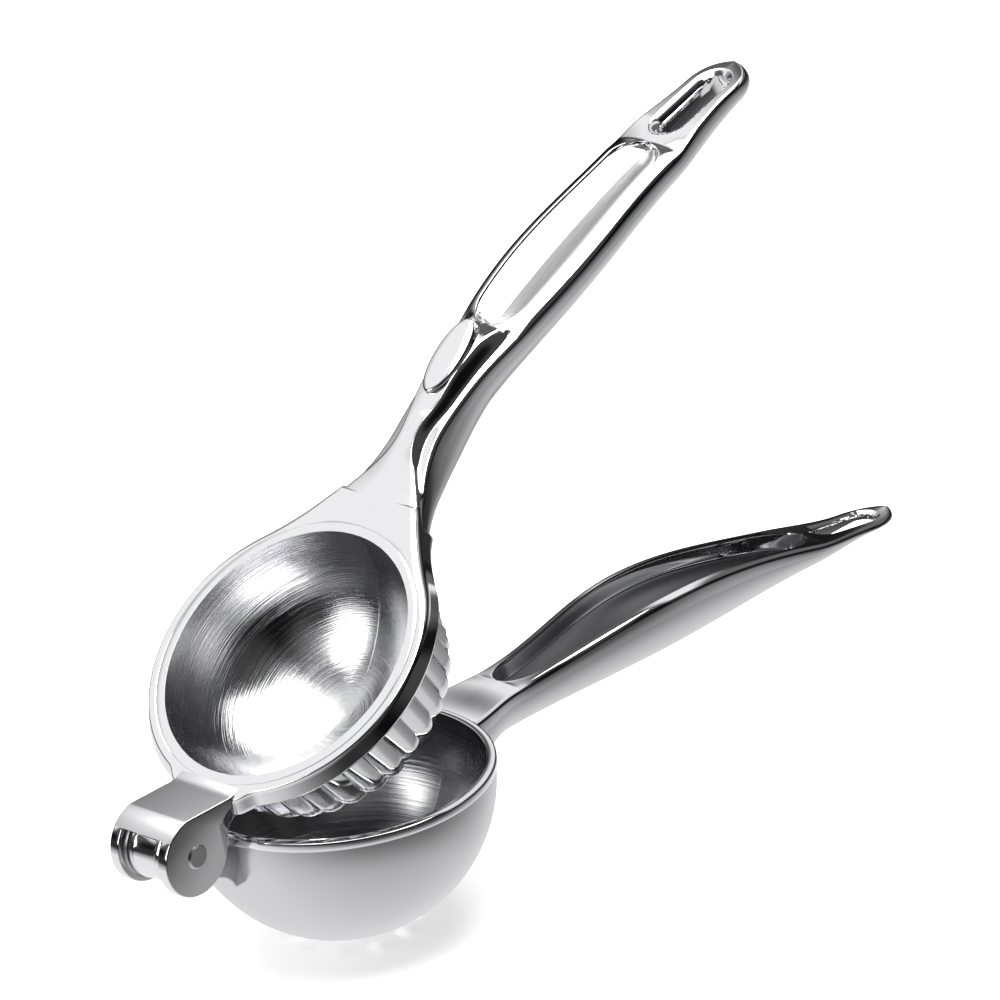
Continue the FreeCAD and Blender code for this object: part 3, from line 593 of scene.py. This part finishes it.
ring_low = RING_TOP - RING_DEPTH
up_span = UP_REACH - RING_RADIUS
flare_from = RING_RADIUS * 0.70
up_neck_at, up_palm_at = RING_RADIUS + up_span * 0.17, RING_RADIUS + up_span * 0.53
up_grip_at, up_end = RING_RADIUS + up_span * 0.755, UP_REACH - 9.0
up_half = [(flare_from, math.sqrt(RING_RADIUS ** 2 - flare_from ** 2)),
           (RING_RADIUS + 7, UP_NECK + 3.0), (up_neck_at, UP_NECK), (up_palm_at, UP_PALM),
           (up_grip_at, UP_GRIP), (up_end, UP_END)]


def bridge(x, start, stop):
    """Cubic from one place, value and slope to another, held level outside."""
    (x0, y0, m0), (x1, y1, m1) = start, stop
    s, d = np.clip((x - x0) / (x1 - x0), 0, 1), x1 - x0
    return (y0 * (1 + 2 * s) * (1 - s) ** 2 + d * m0 * s * (1 - s) ** 2
            + y1 * s * s * (3 - 2 * s) + d * m1 * s * s * (s - 1))


def up_half_at(x):
    """Half width of the upper arm: it leaves the ring along its tangent."""
    leave = (flare_from, up_half[0][1], -flare_from / up_half[0][1])
    return np.where(x < up_neck_at, bridge(x, leave, (up_neck_at, UP_NECK, 0.0)),
                    between(x, up_half))


def up_top_at(x):
    """Height of the upper handle's top: level to the neck, then falling as a power curve."""
    s = np.clip((x - up_neck_at) / (UP_REACH - up_neck_at), 0, None)
    start = between(x, [(flare_from, RING_TOP), (up_neck_at, NECK_TOP)])
    return np.where(x <= up_neck_at, start, NECK_TOP - (NECK_TOP + TIP_DROP) * s ** 1.75)


def up_low_at(x):
    """Height of the upper handle's belly."""
    bend = up_neck_at + 16
    near = np.where(x < up_neck_at,
                    bridge(x, (flare_from, ring_low, -0.25), (up_neck_at, NECK_LOW, -0.05)),
                    between(x, [(up_neck_at, NECK_LOW),
                                (bend, float(up_top_at(np.array(bend))) - UP_THICK)]))
    s = np.clip((x - bend) / (UP_REACH - bend), 0, 1)
    far = up_top_at(x) - UP_THICK - (UP_TIP_THICK - UP_THICK) * s ** 3
    return np.where(x <= bend, near, far)


a = turning(720)
fold = np.abs((a + np.pi) % (2 * np.pi) - np.pi)
xs = np.linspace(flare_from, PLATE_END, 400)
angle_at = np.arctan2(up_half_at(xs), xs)
along = np.interp(fold, angle_at[::-1], xs[::-1])
reach = np.where(fold < angle_at[-1], PLATE_END / np.cos(fold),
                 along / np.maximum(np.cos(fold), 0.2))
reach = np.where(fold > angle_at[0], RING_RADIUS, reach)
edge_x = reach * np.cos(a)
reach = reach - 0.4 * smooth((edge_x - 41) / 4)
reach = reach + 2.2 * (1 - smooth((np.abs(reach * np.sin(a)) - 8.5) / 6)) * (edge_x < 0)
under = np.where(edge_x > flare_from, up_low_at(edge_x), ring_low)
under = under - 0.03 + 1.8 * smooth((edge_x - 40) / 5)
wide = RING_FLARE * (1 - smooth((edge_x - 22) / 17)) - 2.8 * smooth((edge_x - 40) / 5)
corner = 0.5 + 1.5 * smooth((edge_x - 6) / 26)
level = np.zeros_like(a)
lines = [(level + BORE, level + ring_low), (level + BORE, level + RING_TOP - 1.35),
         (level + BORE, level + RING_TOP - 0.03), (level + BORE + 0.01, level + RING_TOP - 0.01),
         (level + BORE + 0.03, level + RING_TOP)]
for share in (0.3, 0.6, 0.85):
    lines.append((BORE + 0.06 + (reach - corner - BORE - 0.06) * share, level + RING_TOP))
for angle in np.radians(np.linspace(90, 0, 8)):
    lines.append((reach - corner + corner * np.cos(angle),
                  RING_TOP - corner + corner * np.sin(angle)))
for share in (0.2, 0.5, 0.8):
    lines.append((reach + wide * share,
                  RING_TOP - corner + (under + 0.8 - RING_TOP + corner) * share))
lines += [(reach + wide, under + 0.8), (reach + wide - 0.12, under + 0.35),
          (reach + wide - 0.45, under + 0.06), (reach + wide - 0.8, under),
          (BORE + (reach + wide - BORE) * 0.4, (under + ring_low) / 2)]
r, z = np.array(lines).transpose(1, 0, 2)
px, py = r * np.cos(a), r * np.sin(a)
z = z + (up_top_at(px) - RING_TOP) * smooth((px - 33) / 7) * (z > 0)
grid = opened(np.stack([px, py, z], -1))
ring = skin("press_ring", grid, "upper", [plate], round_rows=True, sharp=45)
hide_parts("upper_arm")

# Upper handle.
# The same casting: a crowned neck, then a long palm with bevelled rails, a creased channel
# and a hanging slot in its rounded tip. Rails are polished and the belly is satin.
CHANNEL, CHANNEL_RAIL, CHANNEL_DEPTH, CREASE = (93.6, 157.0), 3.4, 0.9, 2.0
UP_SLOT, CROWN, ROOT_DROP = (162.5, 183.5), 3.6, 1.5
x = np.concatenate([np.linspace(40.5, 95, 130), np.linspace(95, 178, 170)[1:],
                    178 + (UP_REACH - 178) * np.sin(np.linspace(0, np.pi / 2, 50))[1:]])
half = rounded_tip(x, up_half_at(x), up_end, UP_REACH, UP_END)
drop = ROOT_DROP * (1 - smooth((x - 44) / 22))
crown = drop + between(x, [(46.0, 0.0), (66.0, 2.4), (80.0, CROWN), (86.5, CROWN), (98.6, 0.2),
                           (up_end, 0.0)])
ridge = (between(x, [(44.5, 0.80), (61.0, 0.30), (72.0, 0.50), (92.0, 0.50), (100.0, 0.3)]),
         between(x, [(44.5, 1.02), (61.0, 0.62), (72.0, 0.80), (92.0, 0.80), (100.0, 0.8)]))
open_share = opening(x, CHANNEL, 8.0, 6.0)
inner = np.maximum((half - CHANNEL_RAIL) * open_share, 0.02)
depth = CHANNEL_DEPTH * smooth(open_share * 2.5)
crease = CREASE * smooth(open_share * 2.0)
top = up_top_at(x) + 0.03 - drop
low = closing(x, top, up_low_at(x), UP_REACH)
slope = (1.5 - 1.2 * smooth((x - 154) / 12) - 0.8 * (1 - smooth((x - 80) / 16)))[:, None]
grid, top_count = handle_grid(x, top, half, low, crown, inner, depth, crease, 0.7, slope, BEVEL,
                              1 - smooth((x - 52) / 28), ridge)
up_handle = skin("upper_handle", opened(grid), "upper", [plate, satin],
                 top_and_belly(grid, top_count), caps=True, sharp=50)
carve(up_handle, slot_cutter("up_slot", UP_SLOT, SLOT_HALF, up_top_at, 2.2, opened))

# Hinge ears and hood.
# Cast with the ring: two round ears either side of the knuckle under a smooth satin hood that
# slopes down to the ring.
EAR_RADIUS, EAR_IN, EAR_OUT = 9.86, 6.5, 9.5
HOOD_OUT, HOOD_IN, HOOD_HALF = 9.9, 8.65, 9.46
tangent = 63.0
ear_line = np.vstack([arc(PIN, EAR_RADIUS, tangent, 305, 90),
                      [(PIN[0] + 10.9, ring_low + 0.45), (-35.2, ring_low + 0.45),
                       (-35.2, RING_TOP - 0.05), (-37.3, RING_TOP - 0.05)]])
for name, low_y, high_y in (("hinge_ear_near", -EAR_OUT, -EAR_IN),
                            ("hinge_ear_far", EAR_IN, EAR_OUT)):
    ear = slab(name, ear_line, low_y, high_y, 0.35, "upper", [plate], opened)
hood_line = np.vstack([[(-35.0, ring_low + 0.5), (-35.0, RING_TOP - 0.02),
                        (-35.6, RING_TOP + 0.02), (-36.6, RING_TOP + 0.18),
                        (-37.7, RING_TOP + 0.62), (-38.9, RING_TOP + 1.28)],
                       arc(PIN, HOOD_OUT, tangent, 103, 14), arc(PIN, HOOD_IN, 103, -22, 40),
                       [(PIN[0] + 10.9, ring_low + 0.5)]])
hood = slab("hinge_hood", hood_line, -HOOD_HALF, HOOD_HALF, 0.3, "upper", [satin], opened)

# Press bowl.
# A separate cup of aluminium, spun and brushed inside, with a thin lip that seats in the
# ring. Outside it is pressed into two tiers of round flutes that squeeze the half lemon.
BOWL_RADIUS, BOWL_DEPTH, LIP, LIP_HEIGHT = 33.0, 28.5, 2.4, 1.2
DOME_RADIUS, STEP_RADIUS, STEP_DEPTH, DOME_DEPTH = 34.5, 33.2, 14.5, 31.0
FLUTES, FLUTE_DEPTH, TIER_EDGE, TIER_DROP = 32, 1.3, 0.8, 0.5
brushed = turned_metal("brushed_aluminium_bowl", "#DCDCDE", 0.10, 0.24, 0.35)
t = np.radians(np.linspace(-90, 0, 120))
inside = np.stack([BOWL_RADIUS * np.cos(t), RING_TOP + BOWL_DEPTH * np.sin(t)], -1)
lip_out = BOWL_RADIUS + LIP
lip = np.array([(BOWL_RADIUS + 0.08, RING_TOP + 0.01), (BOWL_RADIUS + 0.2, RING_TOP + 0.02),
                (lip_out - 0.05, RING_TOP + 0.02), (lip_out - 0.01, RING_TOP + 0.01),
                (lip_out, RING_TOP - 0.03), (lip_out, RING_TOP - LIP_HEIGHT),
                (DOME_RADIUS + 0.3, RING_TOP - LIP_HEIGHT), (DOME_RADIUS + 0.3, ring_low + 0.3),
                (DOME_RADIUS - 1.0, ring_low + 0.3), (BOWL_RADIUS + 0.15, ring_low + 0.3)])
profile = np.vstack([inside, lip])
bowl_steps = 360
grid = opened(spun(profile, bowl_steps))
zone = np.zeros(grid.shape[:2], int)
zone[len(inside):] = 1
bowl = skin("press_bowl", grid, "upper", [brushed, plate], zone,
            uv=turned_map(len(profile), bowl_steps), sharp=40)
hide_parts("press_dome")


def fluted(steps):
    """Outside of the press: the radius dips to a cusp between round flutes, |cos| of the turn."""
    a = turning(steps)
    wall = np.linspace(0, 1, 24)
    wall_r = DOME_RADIUS + (STEP_RADIUS - DOME_RADIUS) * wall
    wall_z = ring_low + 0.6 - (0.6 + STEP_DEPTH) * wall
    edge_t = np.linspace(0, 1, 6)[1:]
    edge_r = STEP_RADIUS - TIER_EDGE * edge_t
    edge_z = ring_low - STEP_DEPTH - TIER_DROP * np.sin(edge_t * np.pi / 2)
    t = np.radians(np.linspace(0, 90, 60))[1:]
    round_r = (STEP_RADIUS - TIER_EDGE) * np.cos(t)
    round_z = (ring_low - STEP_DEPTH - TIER_DROP
               - (DOME_DEPTH + ring_low - STEP_DEPTH - TIER_DROP) * np.sin(t))
    r = np.concatenate([wall_r, edge_r, round_r])[:, None]
    z = np.concatenate([wall_z, edge_z, round_z])[:, None]
    dip = FLUTE_DEPTH * (r / STEP_RADIUS) ** 1.2 * (1 - np.abs(np.cos(FLUTES * a / 2))[None, :])
    rr = np.maximum(r - dip, 0)
    return np.stack([rr * np.cos(a), rr * np.sin(a), z + 0 * rr], -1)


grid = fluted(FLUTES * 20)
inner_edge = grid[:1].copy()
inner_edge[..., :2] *= ((BOWL_RADIUS + 0.1) / np.hypot(grid[:1, :, 0], grid[:1, :, 1]))[..., None]
grid = opened(np.concatenate([inner_edge, grid]))
flutes = skin("press_flutes", grid, "upper", [plate], sharp=30)

# Inlay strip.
# A pale satin panel of aluminium pressed to the channel's crease and bonded to its floor.
INLAY, INLAY_GAP, INLAY_THICK = (94.6, 156.0), 0.85, 0.55
inlay, tree, shader = finish_tree("bead_blasted_aluminium")
place = add(tree, "ShaderNodeTexCoord")
grit = add(tree, "ShaderNodeTexNoise", {"Scale": 1800.0, "Detail": 2.0},
           {"Vector": place.outputs["Object"]})
ripple = add(tree, "ShaderNodeBump", {"Strength": 0.06, "Distance": 0.0001},
             {"Height": grit.outputs["Fac"]})
tree.links.new(ripple.outputs[0], shader.inputs["Normal"])
metal(shader, "#E4E4E4", 0.28)
x = np.linspace(*INLAY, 200)
share = opening(x, INLAY, 8.0, 6.0)
half = np.maximum((between(x, up_half) - CHANNEL_RAIL - INLAY_GAP) * share, 0.02)[:, None]
t = np.linspace(-1, 1, 41)[None, :]
y = half * t
z = (up_top_at(x)[:, None] - CHANNEL_DEPTH - CREASE * (1 - np.abs(t)) + 0.8
     - 0.25 * np.abs(t) ** 12)
topside = np.stack([np.broadcast_to(x[:, None], y.shape), y, z], -1)
underside = topside[:, ::-1].copy()
underside[..., 2] -= INLAY_THICK
grid = opened(np.concatenate([topside, underside], 1))
strip = skin("inlay_panel", grid, "upper", [inlay], caps=True, sharp=40)
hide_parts("inlay_strip")

# Oval badge.
# A bare raised oval of polished plate, set into the crown of the neck.
BADGE_AT, BADGE_LENGTH, BADGE_WIDTH = 81.5, 10.5, 4.4
crown_top = float(up_top_at(np.array(BADGE_AT))) + CROWN
a = turning(160)
rows = []
for share, lift in ((0.0, 1.25), (0.5, 1.25), (0.86, 1.2), (0.94, 1.12), (0.985, 0.9), (1.0, 0.6),
                    (1.0, 0.0), (1.0, -2.6), (0.0, -2.6)):
    rows.append(np.stack([BADGE_AT + BADGE_LENGTH * share * np.cos(a),
                          BADGE_WIDTH * share * np.sin(a), 0 * a + crown_top + lift], -1))
badge = skin("oval_plate", opened(np.array(rows)), "upper", [plate], sharp=40)
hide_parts("oval_badge")

# Hinge pin and washers.
# Drawn steel: the pin is peened flush in both ears, and a thin washer turns on each side.
steel, tree, shader = finish_tree("drawn_steel")
place = add(tree, "ShaderNodeTexCoord")
marks = add(tree, "ShaderNodeTexNoise", {"Scale": 900.0, "Detail": 4.0},
            {"Vector": place.outputs["Object"]})
rough = add(tree, "ShaderNodeMapRange", {"To Min": 0.22, "To Max": 0.4},
            {"Value": marks.outputs["Fac"]})
tree.links.new(rough.outputs[0], shader.inputs["Roughness"])
metal(shader, "#C9C9CB")
for name in ("hinge_pin", "washer_near", "washer_far"):
    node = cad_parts[name]
    node.data.materials.clear()
    node.data.materials.append(steel)
